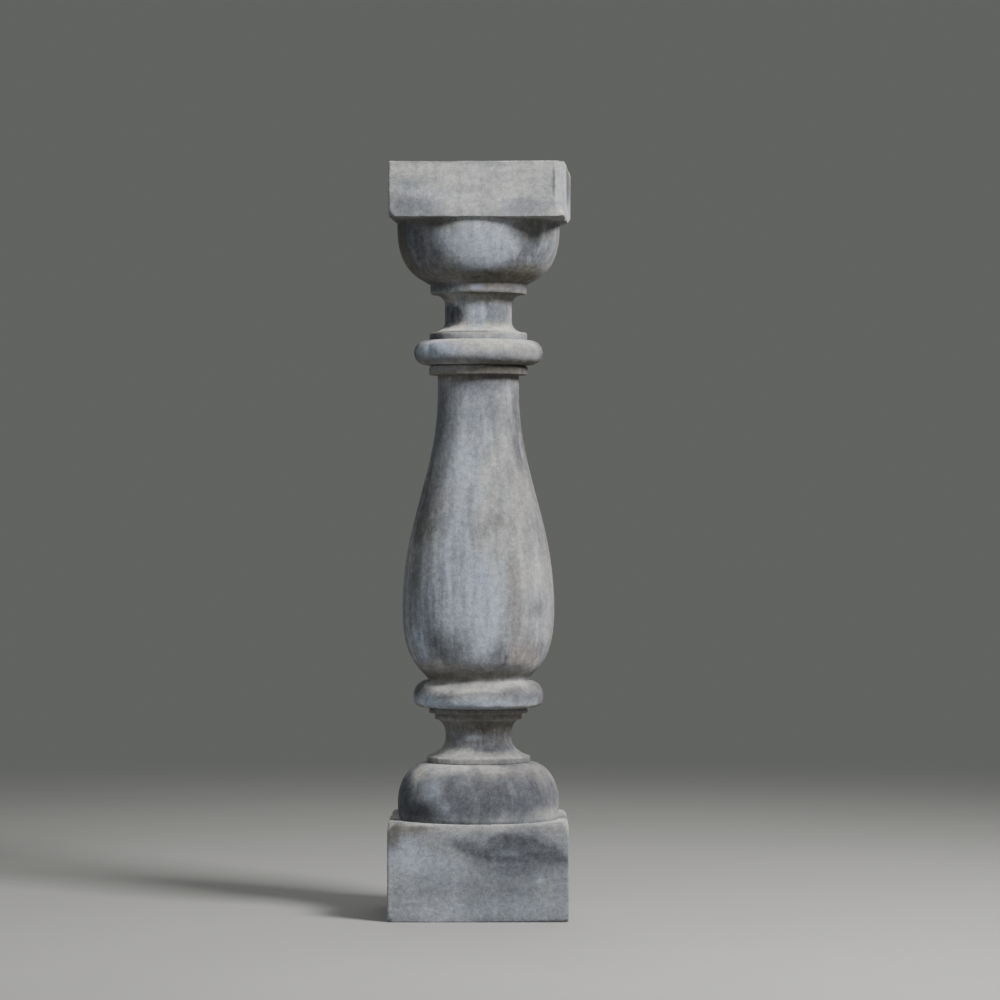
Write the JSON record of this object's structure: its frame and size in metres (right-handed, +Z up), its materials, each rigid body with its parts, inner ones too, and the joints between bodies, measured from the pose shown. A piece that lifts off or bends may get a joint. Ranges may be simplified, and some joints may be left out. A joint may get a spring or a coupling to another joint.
{
  "type": "stone baluster",
  "caption": "Weathered stone baluster with a square plinth, cushion base, ringed pear-shaped shaft, short necks, a bowl and a square head block.",
  "frame": {"origin": "centre of the plinth's underside, on the turned axis", "axes": "+Z up along the turned axis, -Y out of the face seen in the picture, +X to the right of that face"},
  "size_m": [0.1538, 0.1526, 0.628],
  "materials": {
    "stone": "weathered and matt, with pale lime bloom on upper faces and blue-grey and brown staining"
  },
  "bodies": {
    "root": {"baluster": "stone"}
  },
  "joints": []
}
